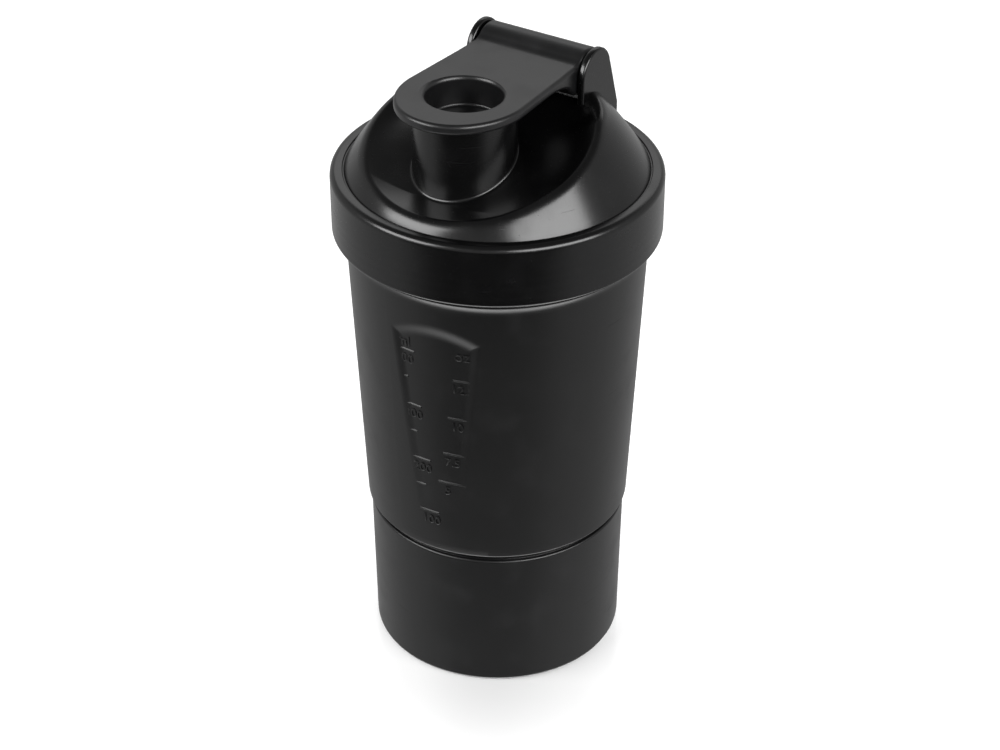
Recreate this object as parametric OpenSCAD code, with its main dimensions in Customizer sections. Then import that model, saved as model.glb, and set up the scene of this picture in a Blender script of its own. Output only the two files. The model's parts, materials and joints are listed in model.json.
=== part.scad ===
// Protein shaker bottle with a screwed-on storage jar, a screw lid and a flip cap.
// Millimetres. Z is up, the jar stands on z = 0 and the spout is on the -Y side.

/* [Storage jar] */
// Outside radius of the jar at its foot
jar_foot_r = 39.3; // [38:0.1:39.6]
// Outside radius of the jar at its rim
jar_rim_r = 39.95; // [39.7:0.05:40.2]
// Height of the seam between jar and cup
seam_z = 50.1; // [46:0.1:56]
// Wall of the jar
jar_wall = 2.0; // [1.8:0.1:2.1]

/* [Cup] */
// Outside radius of the cup just above the seam
cup_foot_r = 40.85; // [40.5:0.05:41.2]
// Outside radius of the cup under the lid
cup_top_r = 45.1; // [44.6:0.1:45.3]
// Wall of the cup
cup_wall = 1.9; // [1.6:0.1:2.2]
// Height of the cup's rim
rim_z = 160.1; // [158:0.1:160.2]
// How far the scale panel is turned from the spout, in degrees
panel_turn = 7.5; // [-20:0.5:20]
// Depth of the scale panel at its arched top
panel_depth = 1.0; // [0.4:0.1:1.2]

/* [Lid] */
// Outside radius of the lid's band
band_r = 49.0; // [48.6:0.1:50]
// Height of the band's lower edge
band_low_z = 144.4; // [142:0.1:146]
// Height of the band's upper face
band_top_z = 163.6; // [163.4:0.1:164]
// Height of the dome's flat top
dome_z = 185.0; // [184:0.1:186]
// Wall of the lid
lid_wall = 2.0; // [1.6:0.1:2.2]

/* [Spout] */
// Outside radius of the spout
spout_r = 15.05; // [14.5:0.05:15.5]
// How far the spout stands in front of the axis
spout_fwd = 17.3; // [16:0.05:18]
// Wall of the spout
spout_wall = 1.85; // [1.5:0.05:2]

/* [Flip cap] */
// Height of the hinge line
hinge_z = 188.7; // [188.5:0.1:189.5]
// Distance of the hinge line behind the axis
hinge_y = 21.95; // [21.5:0.05:22.5]
// Radius of the flip cap's barrel
barrel_r = 7.33; // [7:0.01:7.5]
// Half the width of the flip cap
cap_half = 17.65; // [17:0.05:17.7]
// Thickness of the flip cap's plate
plate_t = 3.2; // [2.6:0.1:3.4]
// Radius of the stub pins
pin_r = 2.2; // [1.8:0.1:2.6]

/* [Hidden] */
$fn = 96;
black = [0.07, 0.07, 0.075];
satin_black = [0.10, 0.10, 0.105];
seal_grey = [0.20, 0.20, 0.21];

// --- small radii shared by the moulded pieces
foot_fillet = 1.2;
inner_fillet = 2.8;                          // where a wall meets a floor inside
cup_fillet = 0.8;
edge = 0.5;                                  // chamfer on rims and lower edges

// --- seam between jar and cup
seam_gap = 0.6;                              // open groove that shows round the seam
jar_top_z = seam_z - seam_gap;
jar_bore_r = jar_rim_r - jar_wall;
jar_floor_z = 2.6;
boss_r = jar_bore_r - 1.35;                  // the cup's screwed foot inside the jar
boss_low_z = 40.3;
boss_wall = 2.0;
cup_floor_z = boss_low_z + 2.0;
jar_lead = 8;                                // rise of the jar's two-start thread per turn
jar_turns = 0.5;
jar_ridge = 0.9;
jar_thread_z = 42.4;
jar_thread_root = 1.7;
jar_thread_crest = 0.7;
ridge_sink = 0.4;                            // how deep a ridge's root sits in its wall
foot_ring_r = 37;                            // inside of the ring that the jar stands on
foot_ring_rise = 0.8;
jar_seal_t = 1.0;
jar_seal_in_r = 38.1;
jar_seal_out_r = 39.5;

// --- mouth of the cup
neck_r = 44.6;
neck_bore_r = neck_r - cup_wall;
skirt_r = 46.45;                             // inside radius of the lid's band
lid_lead = 12;                               // rise of the lid's two-start thread per turn
lid_turns = 0.6;
lid_ridge = 1.25;
lid_thread_z = 149;
lid_thread_root = 2.4;
lid_thread_crest = 1.0;
bead = 0.7;                                  // bead round the cup just under the lid
cup_slope = (cup_top_r - cup_foot_r) / (band_low_z - seam_z);
function cup_r(z) = cup_foot_r + cup_slope * (z - seam_z);

// --- scale panel: an arched window that fades out downwards
panel_top_z = 132.9;
panel_corner_z = 128.4;
panel_low_z = 63;
panel_half_top = 14.0;
panel_half_low = 7.0;
panel_floor_top_r = cup_r(panel_top_z) - panel_depth;
panel_floor_low_r = cup_r(panel_low_z) - 0.05;
function panel_r(z) = panel_floor_low_r
    + (panel_floor_top_r - panel_floor_low_r) * (z - panel_low_z) / (panel_top_z - panel_low_z);
mark_top_z = 121.6;                          // the 400 ml line
mark_step = 9.5;                             // 50 ml
ounce_top_z = 115.1;                         // the 12.5 oz line
ounce_step = 13.7;                           // 2.5 oz
mark_rise = 0.3;                             // how far the lines stand off the panel
long_mark = 8.3;
short_mark = 4.6;
ounce_mark = 7.2;
mark_turn = -13;                             // degrees from the panel's middle, top left line
mark_turn_step = 1.0;
ounce_turn = 13.4;
ounce_turn_step = -2.4;

// --- seals, and the ring under the lid that the sieve clips into
deck_z = band_top_z - lid_wall;              // underside of the flat deck round the dome
lid_seal_t = 1.2;
plug_ring_r = neck_bore_r - 0.4;
plug_ring_wall = 1.6;
plug_ring_low_z = 151.5;
sieve_r = plug_ring_r - plug_ring_wall - 0.35;
sieve_low_z = 149.5;
sieve_h = 8;
sieve_floor = 1.6;
sieve_pitch = 7.2;
sieve_bar = 1.8;

// --- dome and the dished scallop in front of it
dome_foot_r = 44.7;
flank_r = 122;                               // slight outward curve of the dome's flank
shoulder_r = 9.5;
shoulder_x = 24.2;                           // where the shoulder's arc meets the flat top
dish_r = 113.7;
dish_y = -41.55;
dish_z = 280.5;
trough_r = barrel_r + 0.9;                   // room for the barrel between the ears

// --- spout, plug and hinge
spout_top_z = 189.5;
spout_bore_r = spout_r - spout_wall;
ear_in_x = 18.0;
ear_out_x = 20.16;
ear_r = 7.86;
ear_lean = 18;                               // slope of the ear's back edge, degrees
pin_len = 1.45;
plate_top_z = 193.2;                         // plate's top on the axis, rising to the nose
plate_rise = 0.02;
nose_r = 21.6;                               // reach of the nose in front of the spout's axis
cap_front_half = 19.0;
recess_r = 11.0;
recess_floor_z = 184.5;
lip_r = 1.5;
plug_r = spout_bore_r - 0.8;
plug_low_z = 182.9;
plug_seal_z = 187.0;
plug_seal_h = 1.6;
plug_seal_r = spout_bore_r - 0.3;
plug_groove_r = plug_r - 0.6;
function plate_z(y) = plate_top_z - plate_rise * y;

// Points of an arc about (x, y) from angle a to angle b, in n steps
function arc(x, y, r, a, b, n) = [for (i = [0:n])
    [x + r * cos(a + (b - a) * i / n), y + r * sin(a + (b - a) * i / n)]];

// A helical ridge on a cylinder. Its crest is at crest_r and its root is sunk at root_r;
// both ends run out to the root.
module ridge(root_r, crest_r, lead, turns, low_z, start, root_w, crest_w) {
    steps = round(turns * 40);
    fade = 4;
    section = [for (i = [0:steps])
        let (a = start + 360 * turns * i / steps, z = low_z + lead * turns * i / steps,
             f = min(1, (i + 0.4) / fade, (steps - i + 0.4) / fade),
             r = root_r + (crest_r - root_r) * f)
        each [[root_r * cos(a), root_r * sin(a), z - root_w / 2],
              [r * cos(a), r * sin(a), z - crest_w / 2],
              [r * cos(a), r * sin(a), z + crest_w / 2],
              [root_r * cos(a), root_r * sin(a), z + root_w / 2]]];
    out = crest_r > root_r;
    side = [for (i = [0:steps - 1]) for (k = [0:3])
        let (p = 4 * i + k, q = 4 * i + (k + 1) % 4)
        each (out ? [[p, q, q + 4], [p, q + 4, p + 4]] : [[q, p, q + 4], [q + 4, p, p + 4]])];
    last = 4 * steps;
    ends = out ? [[3, 2, 1, 0], [last, last + 1, last + 2, last + 3]]
               : [[0, 1, 2, 3], [last + 3, last + 2, last + 1, last]];
    polyhedron(points = section, faces = concat(side, ends));
}

// Two equal ridges on opposite sides
module two_start(root_r, crest_r, lead, turns, low_z, start, root_w, crest_w)
    for (k = [0, 180])
        ridge(root_r, crest_r, lead, turns, low_z, start + k, root_w, crest_w);

module storage_jar() color(satin_black) {
    bore_low_r = jar_bore_r - 0.6;               // the bore tapers to let the mould go
    rotate_extrude() polygon(concat(
        [[0, foot_ring_rise], [foot_ring_r - foot_ring_rise, foot_ring_rise], [foot_ring_r, 0]],
        arc(jar_foot_r - foot_fillet, foot_fillet, foot_fillet, -90, 0, 6),
        [[jar_rim_r, jar_top_z - edge], [jar_rim_r - edge, jar_top_z],
         [jar_bore_r, jar_top_z]],
        arc(bore_low_r - inner_fillet, jar_floor_z + inner_fillet, inner_fillet, 0, -90, 6),
        [[0, jar_floor_z]]));
    two_start(jar_bore_r + ridge_sink, jar_bore_r - jar_ridge, jar_lead, jar_turns,
              jar_thread_z, 0, jar_thread_root, jar_thread_crest);
}

module storage_seal() color(seal_grey)
    translate([0, 0, jar_top_z]) difference() {
        cylinder(r = jar_seal_out_r, h = jar_seal_t);
        translate([0, 0, -1]) cylinder(r = jar_seal_in_r, h = jar_seal_t + 2);
    }

// Arched outline of the scale panel, flat, with x across the cup and y up it
module panel_outline() {
    arch = panel_top_z - panel_corner_z;
    arch_r = (pow(panel_half_top, 2) + pow(arch, 2)) / (2 * arch);
    arch_a = asin(panel_half_top / arch_r);
    polygon(concat(
        arc(0, panel_top_z - arch_r, arch_r, 90 - arch_a, 90 + arch_a, 12),
        [[-panel_half_low, panel_low_z], [panel_half_low, panel_low_z]]));
}

module panel_cut() rotate([0, 0, panel_turn]) difference() {
    rotate([90, 0, 0]) linear_extrude(height = 60) panel_outline();
    translate([0, 0, panel_low_z - 10])
        cylinder(r1 = panel_r(panel_low_z - 10), r2 = panel_r(panel_top_z + 5),
                 h = panel_top_z - panel_low_z + 15);
}

// One raised line of the scale, standing on the panel's floor
module mark(z, turn, len, thick = 0.55)
    rotate([0, 0, panel_turn + turn])
        translate([-len / 2, -panel_r(z) - mark_rise, z - thick / 2])
            cube([len, mark_rise + 0.9, thick]);

module cup() color(satin_black) {
    bead_z = band_low_z - 1.1;
    inside_r = cup_foot_r - cup_wall;
    foot_bore_r = boss_r - boss_wall;
    seal_land_in_r = jar_seal_in_r - 0.1;        // groove that the seal presses into
    seal_land_out_r = jar_seal_out_r + 0.1;
    difference() {
        rotate_extrude() polygon(concat(
            [[0, boss_low_z], [boss_r - cup_fillet, boss_low_z],
             [boss_r, boss_low_z + cup_fillet], [boss_r, seam_z],
             [seal_land_in_r, seam_z], [seal_land_in_r, seam_z + edge],
             [seal_land_out_r, seam_z + edge], [seal_land_out_r, seam_z]],
            arc(cup_foot_r - cup_fillet, seam_z + cup_fillet, cup_fillet, -90, 0, 4),
            [[cup_top_r, bead_z - bead], [cup_top_r + bead, bead_z],
             [cup_top_r + bead, bead_z + bead], [neck_r, bead_z + 2 * bead],
             [neck_r, rim_z - edge], [neck_r - edge, rim_z], [neck_bore_r + edge, rim_z],
             [neck_bore_r, rim_z - edge], [neck_bore_r, band_low_z],
             [inside_r, seam_z + 2.4], [inside_r - 1, seam_z + 1.4],
             [foot_bore_r, seam_z + 0.6], [foot_bore_r, cup_floor_z + 1.5],
             [foot_bore_r - 1.5, cup_floor_z], [0, cup_floor_z]]));
        panel_cut();
    }
    two_start(boss_r - ridge_sink, boss_r + jar_ridge, jar_lead, jar_turns,
              jar_thread_z + jar_lead / 4, 0, jar_thread_root, jar_thread_crest);
    two_start(neck_r - ridge_sink, neck_r + lid_ridge, lid_lead, lid_turns,
              lid_thread_z, 0, lid_thread_root, lid_thread_crest);
    for (i = [0:6])
        mark(mark_top_z - mark_step * i, mark_turn + mark_turn_step * i,
             i % 2 ? short_mark : long_mark);
    for (i = [0:3])
        mark(ounce_top_z - ounce_step * i, ounce_turn + ounce_turn_step * i, ounce_mark);
}

module lid_seal() color(seal_grey)
    translate([0, 0, deck_z - lid_seal_t - 0.05]) difference() {
        cylinder(r = skirt_r - 0.15, h = lid_seal_t);
        translate([0, 0, -1]) cylinder(r = plug_ring_r + 0.15, h = lid_seal_t + 2);
    }

// Outline of the dome, from its foot over the shoulder to the flat top, moved in by t
function dome_side(t) = let (
        shoulder_y = dome_z - shoulder_r,
        rim_a = 33,                              // where the flank hands over to the shoulder
        p = [shoulder_x + shoulder_r * cos(rim_a), shoulder_y + shoulder_r * sin(rim_a)],
        q = [dome_foot_r, band_top_z],
        m = (p + q) / 2, d = q - p, half = norm(d) / 2,
        n = [-d[1], d[0]] / norm(d),
        c = m - n * sqrt(pow(flank_r, 2) - half * half) * sign(n[0]),
        a0 = atan2(q[1] - c[1], q[0] - c[0]), a1 = atan2(p[1] - c[1], p[0] - c[0]))
    concat(arc(c[0], c[1], flank_r - t, a0, a1, 6),
           arc(shoulder_x, shoulder_y, shoulder_r - t, rim_a, 90, 8));

module dome_solid(t, low_z) rotate_extrude() polygon(concat(
    [[0, low_z], [dome_foot_r - t * 1.2, low_z]], dome_side(t), [[0, dome_z - t]]));

// The dish that the spout stands in: a shallow cap of a large sphere, closed by a cone above
module dish(r) {
    rings = 6;
    round_n = 28;
    wide = 30;                               // half angle of the cap, degrees
    tilt = 19.5;                             // the dish faces up and forward
    points = concat([[0, 0, -r]],
        [for (i = [1:rings]) for (j = [0:round_n - 1])
            let (a = wide * i / rings, b = 360 * j / round_n)
            r * [sin(a) * cos(b), sin(a) * sin(b), -cos(a)]],
        [[0, 0, 0]]);
    top = len(points) - 1;
    faces = concat(
        [for (j = [0:round_n - 1]) [0, 1 + j, 1 + (j + 1) % round_n]],
        [for (i = [0:rings - 2]) for (j = [0:round_n - 1])
            let (p = 1 + i * round_n + j, q = 1 + i * round_n + (j + 1) % round_n)
            each [[q, p, p + round_n], [q, p + round_n, q + round_n]]],
        [for (j = [0:round_n - 1])
            let (p = 1 + (rings - 1) * round_n) [top, p + (j + 1) % round_n, p + j]]);
    translate([0, dish_y, dish_z]) rotate([tilt, 0, 0]) polyhedron(points = points, faces = faces);
}

// What is taken out of the dome: the dish, and the trough that the barrel turns in
module hollows(t) {
    dish(dish_r + t);
    translate([-ear_in_x - t, hinge_y, hinge_z]) rotate([0, 90, 0])
        cylinder(r = trough_r + t, h = 2 * (ear_in_x + t));
}

module ear_side() {
    lean = [cos(ear_lean), sin(ear_lean)];
    drop = 17;                               // length of the leaning back edge
    sink = 10;                               // how far the ear reaches down into the dome
    back = ear_r * lean + drop * [sin(ear_lean), -cos(ear_lean)];
    translate([hinge_y, hinge_z]) polygon(concat(
        arc(0, 0, ear_r, 180, ear_lean, 20),
        [back, back - [0, sink], [-ear_r, -sink]]));
}

module ears() for (side = [-1, 1])
    translate([side > 0 ? ear_in_x : -ear_out_x, 0, 0])
        rotate([90, 0, 90]) linear_extrude(height = ear_out_x - ear_in_x) ear_side();

module lid() color(black) {
    difference() {
        union() {
            difference() {
                dome_solid(0, deck_z);
                hollows(0);
            }
            translate([0, -spout_fwd, 166]) cylinder(r = spout_r, h = spout_top_z - 166);
            difference() {
                ears();
                dome_solid(lid_wall, deck_z - 20);
            }
        }
        difference() {
            dome_solid(lid_wall, deck_z - 20);
            hollows(lid_wall);
        }
        translate([0, -spout_fwd, 150]) cylinder(r = spout_bore_r, h = 60);
        for (side = [-1, 1])
            translate([side > 0 ? ear_in_x - 1 : -ear_in_x + 1, hinge_y, hinge_z])
                rotate([0, side * 90, 0]) cylinder(r = pin_r + 0.07, h = pin_len + 1.15);
    }
    rotate_extrude() polygon([
        [dome_foot_r - 0.5, band_top_z], [band_r - 2, band_top_z],
        [band_r - 0.6, band_top_z - 0.6], [band_r, band_top_z - 2],
        [band_r, band_low_z + edge], [band_r - edge, band_low_z],
        [skirt_r + edge, band_low_z], [skirt_r, band_low_z + edge],
        [skirt_r, deck_z], [plug_ring_r, deck_z], [plug_ring_r, plug_ring_low_z + edge],
        [plug_ring_r - edge, plug_ring_low_z], [plug_ring_r - plug_ring_wall, plug_ring_low_z],
        [plug_ring_r - plug_ring_wall, deck_z], [dome_foot_r - 2.6, deck_z + 1]]);
    two_start(skirt_r + ridge_sink, skirt_r - lid_ridge, lid_lead, lid_turns,
              lid_thread_z - lid_lead / 4, 0, lid_thread_root, lid_thread_crest);
}

module mixing_sieve() color(satin_black) {
    count = floor(sieve_r / sieve_pitch);
    translate([0, 0, sieve_low_z]) {
        difference() {
            cylinder(r = sieve_r, h = sieve_h);
            translate([0, 0, -1]) cylinder(r = sieve_r - 1.8, h = sieve_h + 2);
        }
        linear_extrude(height = sieve_floor) difference() {
            circle(r = sieve_r - 1);
            for (i = [-count:count]) for (j = [-count:count])
                if (norm([i, j]) * sieve_pitch < sieve_r - 6)
                    translate([i * sieve_pitch, j * sieve_pitch])
                        square(sieve_pitch - sieve_bar, center = true);
        }
    }
}

// Outline of the flip cap seen from above
module cap_plan() polygon(concat(
    arc(0, 0, 1, 0, -180, 36) * [[cap_front_half, 0], [0, nose_r]]
        + [for (i = [0:36]) [0, -spout_fwd]],
    [[-cap_half, hinge_y], [-cap_half, hinge_y + barrel_r],
     [cap_half, hinge_y + barrel_r], [cap_half, hinge_y]]));

// Outline of the flip cap seen from the side: plate, sweep up to the barrel, web below
module cap_side() polygon(concat(
    [[-50, plate_z(-50) - plate_t], [-50, plate_z(-50)], [9, plate_z(9)], [13, plate_z(13) + 0.25],
     [15.8, plate_z(15.8) + 0.9]],
    arc(hinge_y, hinge_z, barrel_r, 135, -140, 24),
    [[14.2, 184.3], [12.6, 185.4], [10.1, 187.6], [7.2, 189.0], [4, 189.7]]));

module flip_cap() color(black) difference() {
    union() {
        intersection() {
            translate([0, 0, 150]) linear_extrude(height = 60) cap_plan();
            rotate([90, 0, 90]) translate([0, 0, -cap_half])
                linear_extrude(height = 2 * cap_half) cap_side();
        }
        translate([0, -spout_fwd, plug_low_z]) cylinder(r = plug_r, h = plate_top_z - 1 - plug_low_z);
        translate([-cap_half - pin_len, hinge_y, hinge_z]) rotate([0, 90, 0])
            cylinder(r = pin_r, h = 2 * (cap_half + pin_len));
    }
    translate([0, -spout_fwd, recess_floor_z]) cylinder(r = recess_r, h = 20);
    translate([0, -spout_fwd, plate_z(-spout_fwd)]) rotate_extrude() difference() {
        translate([recess_r - 1, -lip_r]) square([lip_r + 1, 2 * lip_r]);
        translate([recess_r + lip_r, -lip_r]) circle(r = lip_r);
    }
    translate([0, -spout_fwd, plug_seal_z]) difference() {
        cylinder(r = plug_r + 1, h = plug_seal_h);
        translate([0, 0, -1]) cylinder(r = plug_groove_r, h = plug_seal_h + 2);
    }
    translate([-15.5, hinge_y - 3.5, hinge_z - 12]) cube([31, 9.5, 15]);
}

module plug_seal() color(seal_grey)
    translate([0, -spout_fwd, plug_seal_z]) difference() {
        cylinder(r = plug_seal_r, h = plug_seal_h);
        translate([0, 0, -1]) cylinder(r = plug_groove_r, h = plug_seal_h + 2);
    }

storage_jar();
storage_seal();
cup();
lid_seal();
lid();
mixing_sieve();
flip_cap();
plug_seal();
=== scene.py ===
# %% [markdown]
# # A shaker bottle with a storage jar
# The real object is injection moulded in black polypropylene. It is a cup with a screw lid, a
# flip cap that plugs the spout, a mixing sieve inside the lid and a storage jar screwed on below.
# The CAD model has the sizes and the joints. Here each piece gets its finished shape and surface,
# and rides on the CAD body that it belongs to.

import json
import math

import bmesh
import bpy
from mathutils import Matrix, Vector


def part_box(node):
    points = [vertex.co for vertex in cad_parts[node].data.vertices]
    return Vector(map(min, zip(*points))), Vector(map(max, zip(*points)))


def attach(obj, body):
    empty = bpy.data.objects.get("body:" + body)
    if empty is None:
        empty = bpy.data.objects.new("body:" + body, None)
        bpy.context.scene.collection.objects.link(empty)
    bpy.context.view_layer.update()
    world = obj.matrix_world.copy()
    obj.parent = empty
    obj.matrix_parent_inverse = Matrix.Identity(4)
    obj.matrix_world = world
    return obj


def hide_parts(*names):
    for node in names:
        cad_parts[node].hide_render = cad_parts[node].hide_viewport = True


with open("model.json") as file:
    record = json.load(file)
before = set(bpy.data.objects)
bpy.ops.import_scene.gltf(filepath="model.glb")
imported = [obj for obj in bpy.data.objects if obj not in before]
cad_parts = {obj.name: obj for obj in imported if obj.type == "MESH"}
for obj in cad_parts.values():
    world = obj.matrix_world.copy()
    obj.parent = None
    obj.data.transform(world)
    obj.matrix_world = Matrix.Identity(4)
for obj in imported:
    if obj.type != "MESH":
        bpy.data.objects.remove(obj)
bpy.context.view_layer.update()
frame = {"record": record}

# %% [markdown]
# ## Sizes
# Moulded parts are drawn in millimetres, so the pieces are shaped in millimetres and brought to
# metres at the end. The main sizes are read from the CAD nodes, so both models agree.

# %% Read the main sizes
MM = 0.001


def in_mm(node):
    """Lowest and highest corner of a CAD node, in millimetres."""
    low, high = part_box(node)
    return low / MM, high / MM


jar_low, jar_high = in_mm("storage_jar")
cup_low, cup_high = in_mm("cup")
lid_low, lid_high = in_mm("lid")
sieve_low, sieve_high = in_mm("mixing_sieve")
flip_low, flip_high = in_mm("flip_cap")
plug_seal_low, plug_seal_high = in_mm("plug_seal")
hinge = next(j for j in frame["record"]["behaviour"]["joints"] if j["child"] == "flip")
hinge_y, hinge_z = (value / MM for value in hinge["pos_m"][1:])
for name, (low, high) in {"jar": (jar_low, jar_high), "cup": (cup_low, cup_high),
                          "lid": (lid_low, lid_high), "flip cap": (flip_low, flip_high)}.items():
    print(f"{name}: {[round(b - a, 1) for a, b in zip(low, high)]} mm")
print(f"hinge line at y {hinge_y:.2f}, z {hinge_z:.2f} mm")

# %% [markdown]
# ## Outlines and turned shapes
# Nearly every piece is round, so it is an outline spun about the bottle's axis, as a lathe would
# turn it. A mould has no sharp corner, so each corner of an outline can be given a small radius.

# %% Helpers for outlines


def rounded(corners, steps=4):
    """An outline of (x, y) or (x, y, radius) corners, with an arc in place of each radius."""
    points = []
    for i, corner in enumerate(corners):
        here = Vector(corner[:2])
        if len(corner) < 3:
            points.append(here)
            continue
        back = (Vector(corners[i - 1][:2]) - here).normalized()
        ahead = (Vector(corners[(i + 1) % len(corners)][:2]) - here).normalized()
        half = back.angle(ahead) / 2
        centre = here + (back + ahead).normalized() * corner[2] / math.sin(half)
        first = here + back * corner[2] / math.tan(half) - centre
        last = here + ahead * corner[2] / math.tan(half) - centre
        turn = first.angle_signed(last)
        for k in range(steps + 1):
            points.append(centre + Matrix.Rotation(-turn * k / steps, 2) @ first)
    return points


def arc(x, y, radius, start, end, steps):
    """Points of an arc about (x, y), with its angles in degrees."""
    turns = [math.radians(start + (end - start) * k / steps) for k in range(steps + 1)]
    return [Vector((x + radius * math.cos(a), y + radius * math.sin(a))) for a in turns]


def rows_between(start, end, step):
    """Evenly spaced values from start up to but not including end, about step apart."""
    count = max(1, round(abs(end - start) / step))
    return [start + (end - start) * k / count for k in range(count)]


def spun(bm, outline, steps, closed=True, start=0.0, turn=360.0):
    """Spins an outline of (radius, height) points about the bottle's axis."""
    line = [bm.verts.new((r * math.cos(math.radians(start)), r * math.sin(math.radians(start)), z))
            for r, z in outline]
    pairs = zip(line, line[1:] + line[:1]) if closed else zip(line, line[1:])
    edges = [bm.edges.new(pair) for pair in pairs]
    bmesh.ops.spin(bm, geom=line + edges, cent=(0, 0, 0), axis=(0, 0, 1),
                   angle=math.radians(turn), steps=steps, use_merge=turn == 360.0)


def ridge(bm, root, crest, lead, turns, low, start, root_width, crest_width):
    """A helical ridge of a screw thread that runs out at both ends."""
    steps = 48
    section = [(root, -root_width / 2), (crest, -crest_width / 2),
               (crest, crest_width / 2), (root, root_width / 2)]
    angle = math.radians(start)
    corners = [bm.verts.new((r * math.cos(angle), r * math.sin(angle), low + z))
               for r, z in section]
    face = bm.faces.new(corners)
    before = set(bm.verts) - set(corners)
    bmesh.ops.spin(bm, geom=[face], cent=(0, 0, 0), axis=(0, 0, 1),
                   dvec=(0, 0, lead * turns / steps), angle=math.tau * turns, steps=steps)
    for v in set(bm.verts) - before:
        done = (math.atan2(v.co.y, v.co.x) - angle + 0.001) % math.tau / (math.tau * turns)
        r = math.hypot(v.co.x, v.co.y)
        if abs(r - crest) < 0.01:
            keep = min(1.0, 10 * done + 0.05, 10 * (1 - done) + 0.05)
            wanted = root + (crest - root) * max(0.05, keep)
            v.co.x *= wanted / r
            v.co.y *= wanted / r


def two_start(bm, *sizes, start=0):
    """Two equal ridges on opposite sides, as on a quick screw lid."""
    for side in (0, 180):
        ridge(bm, *sizes[:5], start + side, *sizes[5:])


# %% [markdown]
# ## Carving one shape with another
# Hollows that aren't round about the axis, such as the finger recess, are carved with a tool
# shape by a Boolean. The exact solver copes with faces that lie close together.

# %% Helpers for carving and for finished pieces


def carved(body, tool, how="DIFFERENCE"):
    """The body with the tool shape taken away, added or kept in common. Both are used up."""
    made = []
    for shape in (body, tool):
        bmesh.ops.recalc_face_normals(shape, faces=shape.faces)
        mesh = bpy.data.meshes.new("blank")
        shape.to_mesh(mesh)
        shape.free()
        made.append(bpy.data.objects.new("blank", mesh))
        bpy.context.scene.collection.objects.link(made[-1])
    cut = made[0].modifiers.new("carve", "BOOLEAN")
    cut.operation, cut.object, cut.solver = how, made[1], "EXACT"
    result = bmesh.new()
    result.from_object(made[0], bpy.context.evaluated_depsgraph_get())
    for blank in made:
        bpy.data.meshes.remove(blank.data)
    bmesh.ops.remove_doubles(result, verts=result.verts, dist=0.002)
    return result


def prism(outline, low, high, axis="Z"):
    """A straight-sided block from a flat outline. Axis X takes the outline as (y, z)."""
    bm = bmesh.new()
    if axis == "Z":
        base = [bm.verts.new((x, y, low)) for x, y in outline]
        along = (0, 0, high - low)
    else:
        base = [bm.verts.new((low, y, z)) for y, z in outline]
        along = (high - low, 0, 0)
    face = bm.faces.new(base)
    grown = bmesh.ops.extrude_face_region(bm, geom=[face], use_keep_orig=True)
    top = [g for g in grown["geom"] if isinstance(g, bmesh.types.BMVert)]
    bmesh.ops.translate(bm, verts=top, vec=along)
    bmesh.ops.recalc_face_normals(bm, faces=bm.faces)
    return bm


def soften(bm, radius, over, steps):
    """Rounds the edges that turn by more than some degrees, and returns how many there were."""
    sharp = [e for e in bm.edges if len(e.link_faces) == 2
             and e.calc_face_angle(0) > math.radians(over)]
    bmesh.ops.bevel(bm, geom=sharp, offset=radius, affect="EDGES", segments=steps,
                    profile=0.5, material=-1, clamp_overlap=True)
    return len(sharp)


def finished(bm, name, body, node, finish, sharp=32):
    """Turns a shape in millimetres into a finished piece that rides on its CAD body."""
    bmesh.ops.remove_doubles(bm, verts=bm.verts, dist=0.001)
    bmesh.ops.recalc_face_normals(bm, faces=bm.faces)
    for edge in bm.edges:
        edge.smooth = edge.calc_face_angle(0) < math.radians(sharp)
    for face in bm.faces:
        face.smooth = True
    bmesh.ops.scale(bm, vec=(MM, MM, MM), verts=bm.verts)
    triangles = sum(len(face.verts) - 2 for face in bm.faces)
    loose = sum(1 for edge in bm.edges if len(edge.link_faces) != 2)
    mesh = bpy.data.meshes.new(name)
    bm.to_mesh(mesh)
    bm.free()
    mesh.materials.append(finish)
    piece = bpy.data.objects.new(name, mesh)
    bpy.context.scene.collection.objects.link(piece)
    even = piece.modifiers.new("even light on flats", "WEIGHTED_NORMAL")
    even.keep_sharp = True
    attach(piece, body)
    if node:
        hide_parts(node)
    print(f"{name}: {triangles} triangles, {loose} open edges")


# %% [markdown]
# ## Finishes
# All of the bottle is black polypropylene. The lid's mould is polished, so it shines softly. The
# cup and the jar come from a lightly blasted mould and look like satin. Each finish is a shader
# with a fine grain in its bump and small changes in its roughness.

# %% A small language for shader maths


class Wire:
    """The output of a shader node, which can be used in a sum like a number."""

    def __init__(self, finish, socket):
        self.finish, self.socket = finish, socket

    def joined(self, operation, first, second):
        return self.finish.node("Math", {"operation": operation}, {0: first, 1: second})

    def __add__(self, other):
        return self.joined("ADD", self, other)

    def __radd__(self, other):
        return self.joined("ADD", other, self)

    def __sub__(self, other):
        return self.joined("SUBTRACT", self, other)

    def __rsub__(self, other):
        return self.joined("SUBTRACT", other, self)

    def __mul__(self, other):
        return self.joined("MULTIPLY", self, other)

    def __rmul__(self, other):
        return self.joined("MULTIPLY", other, self)


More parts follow.
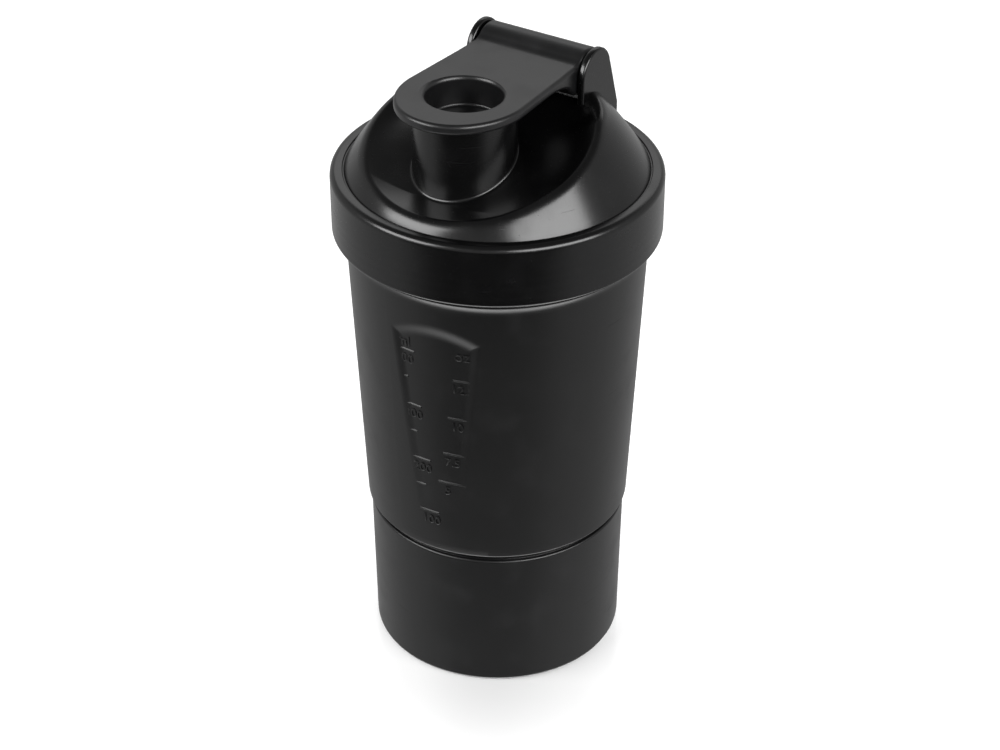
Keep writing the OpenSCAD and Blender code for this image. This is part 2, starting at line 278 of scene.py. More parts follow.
class Finish:
    """A material that is built one node at a time."""

    def __init__(self, name):
        self.material = bpy.data.materials.new(name)
        self.material.use_nodes = True
        self.tree = self.material.node_tree
        self.shader = self.tree.nodes["Principled BSDF"]
        self.place = self.node("TexCoord", out="Object")

    def set(self, socket, value):
        if isinstance(value, Wire):
            self.tree.links.new(value.socket, socket)
        else:
            socket.default_value = value

    def node(self, kind, settings=None, inputs=None, out=0):
        made = self.tree.nodes.new("ShaderNode" + kind)
        for key, value in (settings or {}).items():
            if key == "stops":
                for stop, (where, tone) in zip(made.color_ramp.elements, value):
                    stop.position, stop.color = where, (tone, tone, tone, 1)
            else:
                setattr(made, key, value)
        for key, value in (inputs or {}).items():
            self.set(made.inputs[key], value)
        return Wire(self, made.outputs[out])

    def noise(self, scale, detail=2.0, stretch=(1, 1, 1)):
        where = self.node("Mapping", None, {"Vector": self.place, "Scale": stretch})
        return self.node("TexNoise", None, {"Vector": where, "Scale": scale, "Detail": detail})

    def ramp(self, value, low, high, low_tone=0.0, high_tone=1.0):
        return self.node("ValToRGB", {"stops": [(low, low_tone), (high, high_tone)]}, {0: value})

    def smooth_step(self, value, low, high):
        return self.node("MapRange", {"interpolation_type": "SMOOTHSTEP"},
                         {"Value": value, "From Min": low, "From Max": high})

    def bumps(self, *layers):
        """Stacks bump layers of (height, strength, depth in millimetres)."""
        normal = None
        for height, strength, depth in layers:
            inputs = {"Height": height, "Strength": strength, "Distance": depth * MM}
            if normal:
                inputs["Normal"] = normal
            normal = self.node("Bump", None, inputs)
        self.set(self.shader.inputs["Normal"], normal)


# %% Black plastics of the bottle


def black_plastic(name, tone, shine, grain, ripple, specular, band=None):
    """Black polypropylene. Shine is its roughness, and grain and ripple are bump strengths.

    A band is a stretch of height, in metres, with faint turned lines round it.
    """
    finish = Finish(name)
    cloudy = finish.noise(28, 3)
    fine = finish.noise(2600, 2)
    waves = finish.noise(420, 2)
    handled = finish.ramp(finish.noise(95, 4), 0.52, 0.72)
    scratch = finish.ramp(finish.noise(60, 3, (1, 1, 14)), 0.70, 0.74)
    dust = finish.ramp(finish.noise(1500, 1), 0.74, 0.80)
    shader = finish.shader
    tint = finish.node("Mix", {"data_type": "RGBA"},
                       {"Factor": handled * 0.5 + dust * 0.4, "A": (tone, tone, tone * 1.06, 1),
                        "B": (tone * 1.9, tone * 1.9, tone * 2.0, 1)}, out="Result")
    finish.set(shader.inputs["Base Color"], tint)
    finish.set(shader.inputs["Roughness"],
               shine + (cloudy - 0.5) * 0.10 + handled * 0.05 + scratch * 0.08 + dust * 0.1)
    shader.inputs["Specular IOR Level"].default_value = specular
    layers = [(fine, grain, 0.02), (waves, ripple, 0.12), (scratch, 0.06, 0.03)]
    if band:
        height = finish.node("SeparateXYZ", None, {"Vector": finish.place}, out="Z")
        inside = (finish.smooth_step(height, band[0], band[0] + 0.001)
                  * (1.0 - finish.smooth_step(height, band[1] - 0.003, band[1])))
        lines = finish.node("TexWave", {"bands_direction": "Z", "wave_profile": "SIN"},
                            {"Vector": finish.place, "Scale": 105.0, "Distortion": 0.3})
        layers.append((lines * inside, 0.10, 0.10))
    finish.bumps(*layers)
    return finish.material


lid_band = (lid_low.z * MM, (lid_low.z + 12) * MM)
lid_plastic = black_plastic("lid_plastic", 0.0012, 0.23, 0.05, 0.05, 0.5, lid_band)
flip_plastic = black_plastic("flip_plastic", 0.0045, 0.33, 0.07, 0.05, 0.5)
cup_plastic = black_plastic("cup_plastic", 0.0012, 0.33, 0.14, 0.05, 0.5)
jar_plastic = black_plastic("jar_plastic", 0.0026, 0.33, 0.14, 0.05, 0.5)
sieve_plastic = black_plastic("sieve_plastic", 0.0045, 0.36, 0.08, 0.04, 0.5)

# %% [markdown]
# The seals are moulded in dark grey silicone. It is softer to the eye than the plastic: it
# scatters light at its surface and picks up a little dust.

# %% Silicone of the seals
silicone = Finish("seal_rubber")
dusty = silicone.ramp(silicone.noise(700, 3), 0.55, 0.75)
silicone.set(silicone.shader.inputs["Base Color"], silicone.node(
    "Mix", {"data_type": "RGBA"},
    {"Factor": dusty * 0.35, "A": (0.030, 0.030, 0.032, 1), "B": (0.07, 0.07, 0.07, 1)},
    out="Result"))
silicone.set(silicone.shader.inputs["Roughness"], 0.55 + dusty * 0.15)
silicone.bumps((silicone.noise(1800, 2), 0.12, 0.03))
seal_rubber = silicone.material
print("finishes:", sorted(m.name for m in bpy.data.materials if m.users or m.use_nodes))

# %% [markdown]
# ## The storage jar
# The jar is a shallow pot. It stands on a narrow foot ring, so that the middle of its base, where
# the plastic entered the mould, can't rock on the table. Its inside thread takes the cup's foot.
# The rim steps in at its top, which leaves a dark groove where the jar meets the cup.

# %% Spin the jar
jar_top = jar_high.z
jar_rim = jar_high.x
jar_foot = jar_rim - 0.65
jar_bore = jar_rim - 2.0
groove_down, groove_in = 1.5, 1.2
jar_outline = rounded([
    (0, 0.8), (36.2, 0.8, 0.3), (37.0, 0.0, 0.25), (jar_foot, 0.0, 1.3),
    (jar_rim, jar_top - groove_down, 0.7), (jar_rim - groove_in, jar_top - groove_down, 0.1),
    (jar_rim - groove_in, jar_top, 0.1), (jar_bore, jar_top, 0.3),
    (jar_bore - 0.6, 2.6, 2.6), (0, 2.6)], 5)
gate = rounded([(0, 0.35), (1.6, 0.35, 0.2), (1.6, 0.8, 0.15), (3.4, 0.8), (4.2, 0.95)], 3)

jar = bmesh.new()
spun(jar, gate + jar_outline[1:], 240, closed=False)
bmesh.ops.remove_doubles(jar, verts=jar.verts, dist=0.001)
two_start(jar, jar_bore + 0.4, jar_bore - 0.9, 8, 0.5, 42.4, 1.7, 0.7)
finished(jar, "storage_jar_body", "jar", "storage_jar", jar_plastic)

# %% [markdown]
# ## The cup
# The cup widens a little upwards so that it slides off its mould core. Its foot steps in and is
# screwed into the jar, and its neck steps in under the lid, below a small bead. The front has an
# arched window, which is deepest at its top and fades out downwards.
# The wall is spun with close rows and columns round the window, and those points are then moved
# inwards. That keeps the edge of the window soft, as it is on a moulded cup.

# %% Outline of the cup
seam = jar_top + 0.6
cup_foot_r = 40.85
cup_top_r = 45.1
cup_wall = 1.9
bead_z = lid_low.z - 2.3
rim_z = cup_high.z
neck_r = 44.6
boss_r = jar_bore - 1.35
boss_low = cup_low.z
cup_slope = (cup_top_r - cup_foot_r) / (lid_low.z - seam)


def cup_r(z):
    """Outside radius of the cup at a height."""
    return cup_foot_r + cup_slope * (z - seam)


panel_top, panel_corner, panel_low = 132.9, 128.4, 63.0
panel_half_top, panel_half_low = 14.0, 7.0
panel_depth = 0.85
panel_turn = 7.5
outer_rows = [(cup_r(z), z) for z in rows_between(seam + 3, 118, 1.0)
              + rows_between(118, 136, 0.4) + rows_between(136, bead_z - 1.2, 1.0)]
cup_outline = (
    rounded([(0, boss_low), (boss_r, boss_low, 0.9), (boss_r, seam), (38.0, seam),
             (38.0, seam + 0.5), (39.6, seam + 0.5), (39.6, seam),
             (cup_foot_r, seam, 0.8), (cup_r(seam + 3), seam + 3)])[:-1]
    + [Vector(row) for row in outer_rows]
    + rounded([(cup_top_r, bead_z - 1.0), (cup_top_r + 0.7, bead_z, 0.3),
               (cup_top_r + 0.7, bead_z + 0.6, 0.25), (neck_r, bead_z + 1.3),
               (neck_r, rim_z, 0.6), (neck_r - cup_wall, rim_z, 0.6),
               (neck_r - cup_wall, lid_low.z, 3.0), (cup_foot_r - cup_wall, seam + 2.4, 1.5),
               (boss_r - 2.0, seam + 0.6, 1.0), (boss_r - 2.0, boss_low + 2.0, 2.0),
               (0, boss_low + 2.0)]))

# %% Spin the cup and press in the window


def smooth_step(low, high, value):
    """0 below low, 1 above high, and an even ramp between."""
    t = min(1.0, max(0.0, (value - low) / (high - low)))
    return t * t * (3 - 2 * t)


def window_r(z):
    """Radius of the window's floor at a height."""
    deep, flush = cup_r(panel_top) - panel_depth, cup_r(panel_low) - 0.05
    return flush + (deep - flush) * (z - panel_low) / (panel_top - panel_low)


side_slope, arch_slope = 3.0, 4.6
arch_rise = panel_top - panel_corner
arch_r = (panel_half_top ** 2 + arch_rise ** 2) / (2 * arch_rise)


def pressed_in(co):
    """Moves a point of the outer wall onto the window's floor, if it is inside the window."""
    r = math.hypot(co.x, co.y)
    if r < cup_r(co.z) - 0.2 or co.z < panel_low - 3 or co.z > panel_top + 2 or co.y > 0:
        return
    across = r * math.sin(math.atan2(co.y, co.x) + math.pi / 2 - math.radians(panel_turn))
    part = (co.z - panel_low) / (panel_corner - panel_low)
    half = panel_half_low + (panel_half_top - panel_half_low) * part
    arch = panel_top - arch_r + math.sqrt(max(0.0, arch_r ** 2 - across ** 2))
    inside = min((half - abs(across)) / side_slope, (arch - co.z) / arch_slope)
    press = smooth_step(-0.15, 1.0, inside)
    wanted = r + (min(r, window_r(co.z)) - r) * press
    co.x *= wanted / r
    co.y *= wanted / r


cup = bmesh.new()
window_start = -90 + panel_turn - 21
spun(cup, cup_outline, 170, closed=False, start=window_start, turn=42)
spun(cup, cup_outline, 159, closed=False, start=window_start + 42, turn=318)
bmesh.ops.remove_doubles(cup, verts=cup.verts, dist=0.003)
for v in cup.verts:
    pressed_in(v.co)
two_start(cup, boss_r - 0.4, boss_r + 0.9, 8, 0.5, 44.4, 1.7, 0.7)
two_start(cup, neck_r - 0.4, neck_r + 1.25, 12, 0.6, 149, 2.4, 1.0)
finished(cup, "cup_body", "cup", "cup", cup_plastic)

# %% [markdown]
# ## The scale
# The lines and numbers of the scale are cut into the mould, so they stand up on the window's
# floor. Millilitres are on the left and ounces on the right. The lines are thin sections spun
# through a few degrees, with a sloped upper side that catches the light. The numbers are text
# that is made a mesh and bent round the cup.

# %% Raise the lines of the scale
line_rise, line_low, line_high, line_root = 0.22, 0.24, 0.06, 0.1
line_slope = 1.7
top_line, long_line, short_line, ounce_line, short_shift = 8.3, 6.7, 3.6, 8.8, 2
mark_top, mark_step = 121.6, 9.5
mark_turn, turn_step = -14.2, 1.6
ounce_heights = (115.1, 101.4, 88.1, 77.2)
ounce_turn, ounce_step = 13.4, -2.4


def raised_line(bm, z, turn, length):
    """One line of the scale, centred at a turn in degrees from the window's middle."""
    r = window_r(z)
    sweep = math.degrees(length / r)
    start = math.radians(-90 + panel_turn + turn - sweep / 2)
    sloped_top = z + line_high + line_slope * (line_rise + line_root)
    section = rounded([(r - 0.3, z - line_low), (r + line_rise, z - line_low, 0.05),
                       (r + line_rise, z + line_high, 0.05), (r - line_root, sloped_top),
                       (r - 0.3, sloped_top)], 2)
    face = bm.faces.new([bm.verts.new((a * math.cos(start), a * math.sin(start), b))
                         for a, b in section])
    bmesh.ops.spin(bm, geom=[face], cent=(0, 0, 0), axis=(0, 0, 1),
                   angle=math.radians(sweep), steps=max(3, round(length)))


scale_lines = bmesh.new()
mark_lengths = [top_line, short_line] + [long_line, short_line] * 2 + [long_line]
for i, length in enumerate(mark_lengths):
    raised_line(scale_lines, mark_top - mark_step * i,
                mark_turn + turn_step * i - short_shift * (i % 2), length)
for i, z in enumerate(ounce_heights):
    raised_line(scale_lines, z, ounce_turn + ounce_step * i, ounce_line)
finished(scale_lines, "scale_lines", "cup", None, cup_plastic)

# %% Raise the numbers of the scale


def raised_text(bm, words, z, turn, size):
    """Adds words, centred at a height and a turn from the window's middle."""
    letters = bpy.data.curves.new("letters", "FONT")
    letters.body, letters.size, letters.align_x = words, size, "CENTER"
    letters.extrude, letters.resolution_u = 0.10, 3
    letters.bevel_depth, letters.bevel_resolution, letters.offset = 0.13, 1, -0.08
    holder = bpy.data.objects.new("letters", letters)
    bpy.context.scene.collection.objects.link(holder)
    mesh = holder.evaluated_get(bpy.context.evaluated_depsgraph_get()).to_mesh().copy()
    before = set(bm.verts)
    bm.from_mesh(mesh)
    for v in set(bm.verts) - before:
        height = z + v.co.y - size * 0.35
        r = window_r(height) + v.co.z
        angle = math.radians(-90 + panel_turn + turn) + v.co.x / r
        v.co = (r * math.cos(angle), r * math.sin(angle), height)
    bpy.data.objects.remove(holder)
    bpy.data.curves.remove(letters)
    bpy.data.meshes.remove(mesh)


scale_numbers = bmesh.new()
number_drop, unit_size = 2.9, 5.0
ml_turn, ounce_words_turn = mark_turn + 0.7, ounce_turn - 2.0
raised_text(scale_numbers, "ml", mark_top + 3.0, ml_turn, unit_size)
for i, words in enumerate(("400", "300", "200", "100")):
    raised_text(scale_numbers, words, mark_top - number_drop - 2 * mark_step * i,
                ml_turn + 2 * turn_step * i, 4.3)
raised_text(scale_numbers, "oz", ounce_heights[0] + 9.0, ounce_words_turn, unit_size)
for i, words in enumerate(("12.5", "10", "7.5", "5")):
    raised_text(scale_numbers, words, ounce_heights[i] - number_drop,
                ounce_words_turn + ounce_step * i, 4.1)
finished(scale_numbers, "scale_numbers", "cup", None, cup_plastic)

# %% [markdown]
# ## The lid
# The lid is one moulding: a band with the inside thread, a flat deck, a dome, a dished hollow in
# front of the dome and the spout that stands in it. Two ears at the back carry the flip cap.
# The whole skin is one closed outline spun about the axis. Its inner rows are then shifted
# forward to the spout, and laid at the height where dome, dish and trough meet. A soft minimum
# of the three heights gives the rolled crease that a real mould leaves.

# %% Heights of dome, dish and trough
spout_y = (plug_seal_low.y + plug_seal_high.y) / 2
bore_r = plug_seal_high.x + 0.3
spout_r = bore_r + 1.85
spout_top = 189.5
deck_top, deck_low = 163.6, 161.6
dome_top, dome_foot_r = 185.0, 44.7
shoulder_x, shoulder_r, flank_r = 24.2, 9.5, 122.0
handover = math.radians(33)
dish_y, dish_z, dish_r = -41.55, 280.5, 113.7
trough_r = flip_high.y - hinge_y + 0.9
ear_in, ear_out = 18.0, 20.16
spout_lean, lean_from, ear_drop = 0.19, -31, 1.5
crease, trough_crease = 2.4, 0.3
skin = 2.0
shoulder = Vector((shoulder_x + shoulder_r * math.cos(handover),
                   dome_top - shoulder_r + shoulder_r * math.sin(handover)))
foot = Vector((dome_foot_r, deck_top))
along = foot - shoulder
flank_centre = (shoulder + foot) / 2 - Vector((-along.y, along.x)).normalized() * math.sqrt(
    flank_r ** 2 - along.length_squared / 4)


def soft_min(a, b, blend):
    """The lower of two heights, with a rolled edge where they cross."""
    h = min(1.0, max(0.0, 0.5 + 0.5 * (b - a) / blend))
    return b + (a - b) * h - blend * h * (1 - h)


def dome_height(rho, t):
    """Height of the dome at a distance from the axis, moved inwards by t."""
    r = shoulder_r - t
    if rho <= shoulder_x:
        return dome_top - t
    if rho <= shoulder_x + r * math.cos(handover):
        return dome_top - shoulder_r + math.sqrt(r ** 2 - (rho - shoulder_x) ** 2)
    return flank_centre.y + math.sqrt((flank_r - t) ** 2 - (rho - flank_centre.x) ** 2)


def skin_height(x, y, t=0.0):
    """Height of the lid's skin over a point, or of its inner side for t > 0."""
    dome = dome_height(math.hypot(x, y), t)
    dish = dish_z - math.sqrt((dish_r + t) ** 2 - x * x - (y - dish_y) ** 2)
    near_spout = 1 - smooth_step(spout_r + 1, spout_r + 17, math.hypot(x, y - spout_y))
    near_ear = 1 - smooth_step(4, 12, math.hypot(abs(x) - 19, y - 14))
    dish += spout_lean * max(-2.0, y - lean_from) * near_spout - ear_drop * near_ear
    height = soft_min(dome, dish, crease)
    off = trough_r + t
    if abs(y - hinge_y) < off:
        trough = hinge_z - math.sqrt(off ** 2 - (y - hinge_y) ** 2)
        trough += 14 * smooth_step(ear_in + 0.5, ear_out - 0.3, abs(x))
        height = soft_min(height, trough, trough_crease)
    return height


# %% Outline of the lid, with its rows marked
FIXED, TOP_SKIN, UNDER_SKIN, SPOUT_WALL, BORE_WALL = range(5)
foot_fillet = 0.8
band_r = lid_high.x
band_low_z = lid_low.z
skirt_r = 46.45
ring_r, ring_wall, ring_low = 42.3, 1.6, 151.5
under_edge = 41.2
shift_none, shift_full = 41.5, 17.0


def marked(points, kind):
    """Notes on every point how its row is laid."""
    return [(Vector(p), kind) for p in points]


foot_rows = [spout_r + foot_fillet * (1 - math.cos(math.radians(a))) for a in range(0, 90, 12)]
top_rows = (rows_between(spout_r + foot_fillet, shift_none, 0.45)
            + rows_between(shift_none, dome_foot_r, 0.5))
deck_and_band = rounded([
    (dome_foot_r, deck_top - 0.1), (44.85, deck_top - 0.45, 0.08), (45.15, deck_top - 0.45, 0.08),
    (45.35, deck_top, 0.15), (band_r, deck_top, 2.0), (band_r, band_low_z, 0.9),
    (skirt_r, band_low_z, 0.5), (skirt_r, deck_low, 0.3), (ring_r, deck_low, 0.3),
    (ring_r, ring_low, 0.5), (ring_r - ring_wall, ring_low, 0.5),
    (ring_r - ring_wall, deck_low)], 5)
under_rows = rows_between(under_edge, bore_r, 1.1) + [bore_r]
rim = rounded([(bore_r, spout_top - 2), (bore_r, spout_top, 0.45), (spout_r, spout_top, 0.55),
               (spout_r, spout_top - 2)], 4)
lid_outline = (
    marked(rim[1:-1], FIXED)
    + marked([(spout_r, k) for k in (0.0, 0.25, 0.5, 0.75)], SPOUT_WALL)
    + marked([(r, 300) for r in foot_rows + top_rows], TOP_SKIN)
    + marked(deck_and_band, FIXED)
    + marked([(r, 200) for r in under_rows], UNDER_SKIN)
    + marked([(bore_r, k) for k in (0.3, 0.6, 0.9)], BORE_WALL))

# %% Spin the lid and lay its rows on the skin


def lay_on_skin(v, kind):
    """Shifts a row forward to the spout, and lays it at its height."""
    r = math.hypot(v.co.x, v.co.y)
    shift = spout_y * min(1.0, max(0.0, (shift_none - r) / (shift_none - shift_full)))
    v.co.y += shift
    if kind == TOP_SKIN:
        lift = max(0.0, foot_fillet - (r - spout_r))
        fillet = foot_fillet - math.sqrt(max(0.0, foot_fillet ** 2 - lift ** 2))
        v.co.z = skin_height(v.co.x, v.co.y) + fillet
    elif kind == UNDER_SKIN:
        v.co.z = skin_height(v.co.x, v.co.y, skin)
    elif kind == SPOUT_WALL:
        low = skin_height(v.co.x, v.co.y) + foot_fillet
        v.co.z = spout_top - 0.6 + (low - spout_top + 0.6) * v.co.z
    elif kind == BORE_WALL:
        low = skin_height(v.co.x, v.co.y, skin)
        v.co.z = low + (spout_top - 0.6 - low) * v.co.z


lid = bmesh.new()
kinds = lid.verts.layers.int.new("kind")
start_line = [lid.verts.new((p.x, 0, p.y)) for p, _ in lid_outline]
for v, (_, kind) in zip(start_line, lid_outline):
    v[kinds] = kind
start_edges = [lid.edges.new(pair) for pair in zip(start_line, start_line[1:] + start_line[:1])]
bmesh.ops.spin(lid, geom=start_line + start_edges, cent=(0, 0, 0), axis=(0, 0, 1), angle=math.tau,
               steps=360, use_merge=True)
for v in lid.verts:
    lay_on_skin(v, v[kinds])
two_start(lid, skirt_r + 0.4, skirt_r - 1.25, 12, 0.6, 146, 2.4, 1.0)
print("lid skin:", len(lid.verts), "points")

# %% [markdown]
# The ears are flat plates with a round head. Each one leans back into the dome and has a blind
# socket on its inner face for the stub pin of the flip cap.

# %% Ears of the hinge
ear_r, ear_lean, socket_r, socket_deep = 7.86, 18, 2.27, 1.3
lean = math.radians(ear_lean)
ear_back = Vector((ear_r * math.cos(lean) + 17 * math.sin(lean),
                   ear_r * math.sin(lean) - 17 * math.cos(lean)))
ear_outline = arc(0, 0, ear_r, 180, ear_lean, 48) + [
    ear_back, ear_back + Vector((0, -6)), Vector((-ear_r, -8.5))]
for side in (-1, 1):
    ear = prism([p + Vector((hinge_y, hinge_z)) for p in ear_outline], ear_in, ear_out, "X")
    soften(ear, 0.7, 60, 4)
    socket = prism([p + Vector((hinge_y, hinge_z)) for p in arc(0, 0, socket_r, 0, 352.5, 47)],
                   ear_in - 1, ear_in + socket_deep, "X")
    ear = carved(ear, socket)
    if side < 0:
        bmesh.ops.scale(ear, vec=(-1, 1, 1), verts=ear.verts)
        bmesh.ops.reverse_faces(ear, faces=ear.faces)
    plate = bpy.data.meshes.new("ear")
    ear.to_mesh(plate)
    ear.free()
    lid.from_mesh(plate)
    bpy.data.meshes.remove(plate)
finished(lid, "lid_body", "lid", "lid", lid_plastic)

# %% [markdown]
# ## The flip cap
# The flip cap is one moulding too: a plate with a round nose, a sweep up to the hinge barrel, a
# plug under the plate that closes the spout, and a finger recess in the middle of the plug.
# Its side outline is drawn and given its width, and the block is trimmed with the outline seen
# from above. Then all its edges are rounded, the plug is added and the recess is carved out.

# %% Side outline of the flip cap
barrel_r = flip_high.y - hinge_y
cap_half = 17.65
plate_t = 3.2
plate_z = 193.3
sweep_r = 5.0
nose_slope = 0.022


def plate_top(y):
    """Height of the plate's upper face, which rises a little to the nose."""
    return plate_z + max(0.0, 6 - y) * nose_slope


sweep_z = plate_z + sweep_r
sweep_y = hinge_y - math.sqrt((barrel_r + sweep_r) ** 2 - (sweep_z - hinge_z) ** 2)
meet = math.degrees(math.atan2(sweep_z - hinge_z, sweep_y - hinge_y))
side_outline = (
    [Vector((-50, plate_top(-50) - plate_t)), Vector((-50, plate_top(-50))),
     Vector((6, plate_top(6)))]
    + arc(sweep_y, sweep_z, sweep_r, -90, meet - 180, 8)
    + arc(hinge_y, hinge_z, barrel_r, meet, -140, 66)[1:]
    + [Vector(p) for p in ((14.3, 184.25), (13.4, 184.75), (12.6, 185.45), (11.4, 186.6),
                           (10.1, 187.75), (8.1, 188.75), (5.8, 189.4), (3.0, 189.9))]
    + [Vector((0.5, plate_top(0.5) - plate_t))])
nose_r, front_half, back_edge = spout_y - flip_low.y, 19.0, 32
waist_y = 11
plan_outline = (
    [Vector((front_half * math.cos(a), spout_y - nose_r * math.sin(a)))
     for a in [math.pi * k / 56 for k in range(57)]]
    + [Vector(p) for p in ((-cap_half, waist_y), (-cap_half, back_edge),
                           (cap_half, back_edge), (cap_half, waist_y))])

# %% Trim the plate, round its edges and add the plug
flip = carved(prism(side_outline, -cap_half - 3, cap_half + 3, "X"),
              prism(plan_outline, 150, 220), "INTERSECT")
print("rounded", soften(flip, 1.45, 50, 6), "edges of the flip cap")
recess_r, recess_floor, lip_r = 11.0, 184.5, 1.5
plug_r, plug_low = bore_r - 0.8, 182.9
groove_low, groove_high, groove_deep = plug_seal_low.z, plug_seal_high.z, 0.6


def about_spout(outline, steps, closed=False):
    """Spins an outline about the spout's axis."""
    bm = bmesh.new()
    spun(bm, outline, steps, closed)
    bmesh.ops.remove_doubles(bm, verts=bm.verts, dist=0.001)
    bmesh.ops.translate(bm, verts=bm.verts, vec=(0, spout_y, 0))
    return bm


plug = about_spout(rounded([
    (0, plug_low), (plug_r, plug_low, 0.5), (plug_r, groove_low),
    (plug_r - groove_deep, groove_low), (plug_r - groove_deep, groove_high),
    (plug_r, groove_high), (plug_r, 191.4), (0, 191.4)], 4),
    96)
flip = carved(flip, plug, "UNION")
lip_top = plate_top(spout_y)
recess = about_spout(
    [Vector((0, recess_floor))]
    + arc(recess_r - 0.9, recess_floor + 0.9, 0.9, -90, 0, 4)
    + arc(recess_r + lip_r, lip_top - lip_r, lip_r, 180, 94, 7)
    + [Vector((recess_r + lip_r, lip_top + 0.6)), Vector((0, lip_top + 0.6))], 96)
flip = carved(flip, recess)

# %% Carve the pocket under the barrel and add the stub pins
pocket = bmesh.new()
bmesh.ops.create_cube(pocket, size=1)
bmesh.ops.scale(pocket, vec=(31, 9.5, 15), verts=pocket.verts)
bmesh.ops.translate(pocket, verts=pocket.verts, vec=(0, hinge_y + 1.25, hinge_z - 4.5))
flip = carved(flip, pocket)
pin_r, pin_len = 2.2, 1.45
pins = prism([p + Vector((hinge_y, hinge_z)) for p in arc(0, 0, pin_r, 0, 352.5, 47)],
             -cap_half - pin_len + 0.3, cap_half + pin_len - 0.3, "X")
pin_mesh = bpy.data.meshes.new("pins")
pins.to_mesh(pin_mesh)
pins.free()
flip.from_mesh(pin_mesh)
bpy.data.meshes.remove(pin_mesh)
finished(flip, "flip_cap_body", "flip", "flip_cap", flip_plastic, 38)

# %% [markdown]
# ## The mixing sieve
# The sieve clips inside the ring under the lid, and breaks up lumps of powder as the bottle is
# shaken. It is a ring with a floor of square bars. A disc is carved with a field of short square
# pegs, as the pins of its mould do.

# %% Sieve: ring and perforated floor
sieve_r = sieve_high.x
floor_t = 1.6
ring_w = 1.8
pitch, bar = 7.2, 1.8
sieve = bmesh.new()
spun(sieve, rounded([
    (0, sieve_low.z), (sieve_r, sieve_low.z, 0.4), (sieve_r, sieve_high.z, 0.4),
    (sieve_r - ring_w, sieve_high.z, 0.4), (sieve_r - ring_w, sieve_low.z + floor_t, 0.6),
    (0, sieve_low.z + floor_t)]), 144, closed=False)
bmesh.ops.remove_doubles(sieve, verts=sieve.verts, dist=0.001)
pegs = bmesh.new()
count = int(sieve_r / pitch)
for i in range(-count, count + 1):
    for j in range(-count, count + 1):
        if math.hypot(i, j) * pitch < sieve_r - 6:
            peg = bmesh.ops.create_cube(pegs, size=1)["verts"]
            bmesh.ops.scale(pegs, vec=(pitch - bar, pitch - bar, 6), verts=peg)
            bmesh.ops.translate(pegs, verts=peg, vec=(i * pitch, j * pitch, sieve_low.z + 0.7))
upright = [e for e in pegs.edges if abs(e.verts[0].co.z - e.verts[1].co.z) > 1]
bmesh.ops.bevel(pegs, geom=upright, offset=0.6, affect="EDGES", segments=3, profile=0.5,
                material=-1)
sieve = carved(sieve, pegs)
finished(sieve, "mixing_sieve_body", "sieve", "mixing_sieve", sieve_plastic)

# %% [markdown]
# ## The seals
# Three silicone rings keep the bottle tight: one under the lid's deck, one at the jar's mouth and
# one in the plug's groove. Each is a rounded section spun into a ring.

# %% Seal rings


def seal_ring(name, node, body, inner, outer, low, high, y=0.0, bulge=0.3):
    """A ring with a rounded section. It sits on the axis, or y in front of it."""
    bm = bmesh.new()
    spun(bm, rounded([(inner, low, bulge), (outer, low, bulge), (outer, high, bulge),
                      (inner, high, bulge)]), 144)
    bmesh.ops.translate(bm, verts=bm.verts, vec=(0, y, 0))
    finished(bm, name, body, node, seal_rubber)


for name, node, body, inner, bulge in (
        ("lid_seal_ring", "lid_seal", "lid_thread", ring_r + 0.15, 0.35),
        ("storage_seal_ring", "storage_seal", "jar_thread", 38.1, 0.3)):
    low, high = in_mm(node)
    seal_ring(name, node, body, inner, high.x, low.z, high.z, bulge=bulge)
seal_ring("plug_seal_ring", "plug_seal", "flip", plug_r - groove_deep, plug_seal_high.x,
          groove_low, groove_high, y=spout_y, bulge=0.5)

# %% [markdown]
# ## Studio
# The bottle stands on a plain pale floor with a slight sheen. The floor also glows with a painted
# light that grows with distance from a point just in front of the foot of the bottle: it paints
# over the bottle's shadow on the floor behind it and leaves the floor near the foot without the
# glow, so the bottle's reflection shows there. Two large soft lights stand at the front left and
# at the right, and a weak one stands at the back. In a black glossy object the eye mostly sees
# what it mirrors, so the size and the height of the lights shape the bright patches on the dome.

# %% Floor
floor_mesh = bmesh.new()
bmesh.ops.create_grid(floor_mesh, x_segments=1, y_segments=1, size=4.0)
floor_data = bpy.data.meshes.new("floor")
floor_mesh.to_mesh(floor_data)
floor_mesh.free()
floor = bpy.data.objects.new("floor", floor_data)
bpy.context.scene.collection.objects.link(floor)
pale = Finish("pale_floor_painted_glow")
pale.shader.inputs["Base Color"].default_value = (0.72, 0.72, 0.72, 1)
pale.shader.inputs["Roughness"].default_value = 0.14
pale.shader.inputs["Specular IOR Level"].default_value = 0.8
floor.visible_glossy = False
# Painted light: the floor's glow is nothing at a point just in front of the bottle's foot and
# reaches full strength 85 mm away. It paints over the bottle's shadow on the floor.
off_front = pale.node("Mapping", None, {"Vector": pale.place, "Location": (-0.020, 0.032, 0)})
far_off = pale.node("VectorMath", {"operation": "LENGTH"}, {0: off_front}, out="Value")
glow = 0.65 * pale.smooth_step(far_off, 0.0, 0.085)
pale.set(pale.shader.inputs["Emission Color"], pale.node(
    "CombineXYZ", None, {"X": glow, "Y": glow, "Z": glow}))
pale.shader.inputs["Emission Strength"].default_value = 1.0
floor_data.materials.append(pale.material)

# %% [markdown]
# What stands round the bottle is a dim room over a lit table. The plastic mirrors it, so the
# surroundings have their own brightness for each direction: dark in front, where the table
# ends, lighter at the sides, and bright straight below.

# %% Surroundings
scene = bpy.context.scene
scene.view_settings.view_transform = "Standard"


class Surroundings(Finish):
    """The brightness of what is round the bottle, built like a finish."""

    def __init__(self, name):
        self.world = bpy.data.worlds.new(name)
        self.world.use_nodes = True
        self.tree = self.world.node_tree
        self.shader = self.tree.nodes["Background"]
        self.place = self.node("TexCoord", out="Generated")


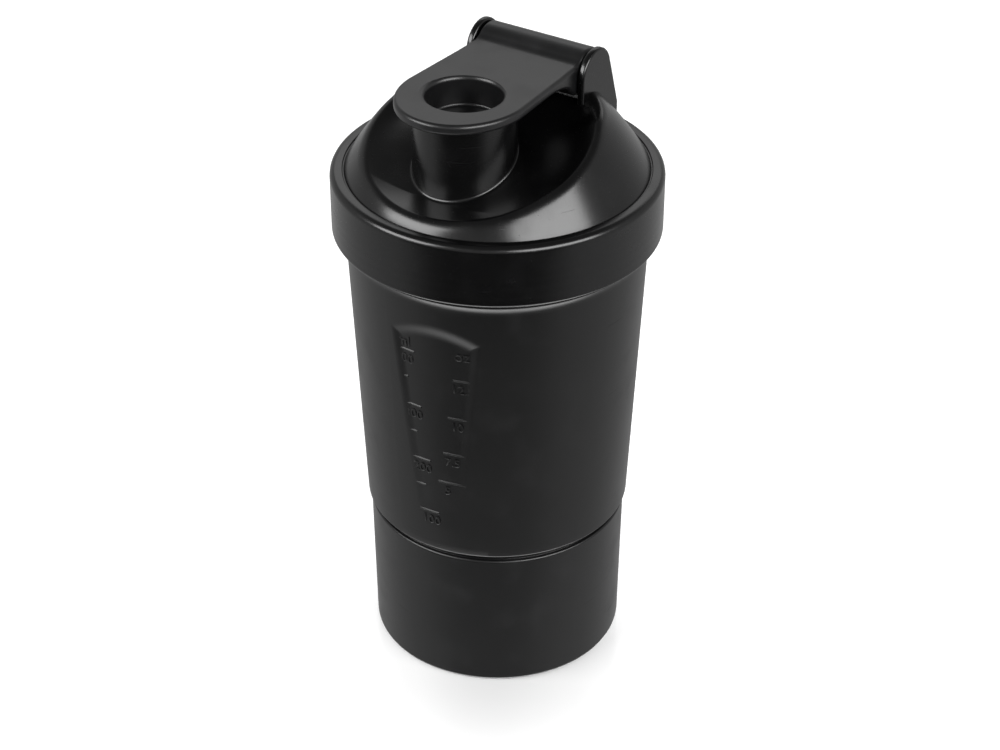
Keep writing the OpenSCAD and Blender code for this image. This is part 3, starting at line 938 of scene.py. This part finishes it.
room = Surroundings("studio")
front_turn = math.radians(25)
dark_table, side_tone, above_tone = 0.03, 0.50, 0.46
east = room.node("SeparateXYZ", None, {0: room.place}, out="X")
north = room.node("SeparateXYZ", None, {0: room.place}, out="Y")
rise = room.node("SeparateXYZ", None, {0: room.place}, out="Z")
facing_front = room.smooth_step(
    east * math.sin(front_turn) - north * math.cos(front_turn), 0.35, 0.78)
fall = 0.0 - rise
table = dark_table + 0.36 * room.smooth_step(fall, 0.54, 0.78)
below = (side_tone + (table - side_tone) * facing_front
         + 3.5 * room.smooth_step(fall, 0.82, 0.95))
above = above_tone - 0.32 * room.smooth_step(rise, 0.45, 0.85)
glow = above + (below - above) * room.smooth_step(fall, -0.02, 0.10)
room.set(room.shader.inputs["Color"], room.node(
    "CombineXYZ", None, {"X": glow, "Y": glow, "Z": glow}))
scene.world = room.world

# %% Soft lights


def soft_light(name, turn, rise, distance, width, height, radiance, aim_z):
    """A soft box that faces the bottle. Turn 0 is in front and 90 is at its right."""
    lamp = bpy.data.lights.new(name, "AREA")
    lamp.shape, lamp.size, lamp.size_y = "RECTANGLE", width, height
    lamp.energy = radiance * math.pi * width * height
    turn, rise = math.radians(turn), math.radians(rise)
    aim = Vector((0, 0, aim_z))
    place = aim + distance * Vector((math.sin(turn) * math.cos(rise),
                                     -math.cos(turn) * math.cos(rise), math.sin(rise)))
    box = bpy.data.objects.new(name, lamp)
    box.matrix_world = (Matrix.Translation(place)
                        @ (aim - place).to_track_quat("-Z", "Y").to_matrix().to_4x4())
    scene.collection.objects.link(box)
    print(f"{name}: {radiance} W/m2/sr")


lid_height = 0.17
soft_light("left soft box", -33, 28, 1.15, 0.85, 0.55, 8.5, lid_height)
soft_light("right soft box", 73, 28, 1.15, 1.10, 0.55, 8.7, lid_height)
soft_light("back soft box", 208, 32, 1.4, 1.4, 0.40, 0.8, lid_height)

# %% [markdown]
# The camera stands at the front right and looks down at the bottle. It is a long lens, so the
# sides of the cup keep nearly their true taper.

# %% Camera
view_turn, view_pitch = math.radians(32.46), math.radians(33.53)
view_distance, view_height = 0.5949, 0.484
camera_data = bpy.data.cameras.new("camera")
camera_data.lens, camera_data.sensor_width = 83.1, 36.0
camera_data.shift_x = 0.0025
camera_data.clip_start = 0.01
camera = bpy.data.objects.new("camera", camera_data)
camera.location = (view_distance * math.sin(view_turn), -view_distance * math.cos(view_turn),
                   view_height)
camera.rotation_euler = (math.pi / 2 - view_pitch, 0, view_turn)
scene.collection.objects.link(camera)
scene.camera = camera

# %% [markdown]
# At the end the scene is brought up to date. The finished pieces have to stay inside the CAD
# model's box.

# %% Finish
bpy.context.view_layer.update()
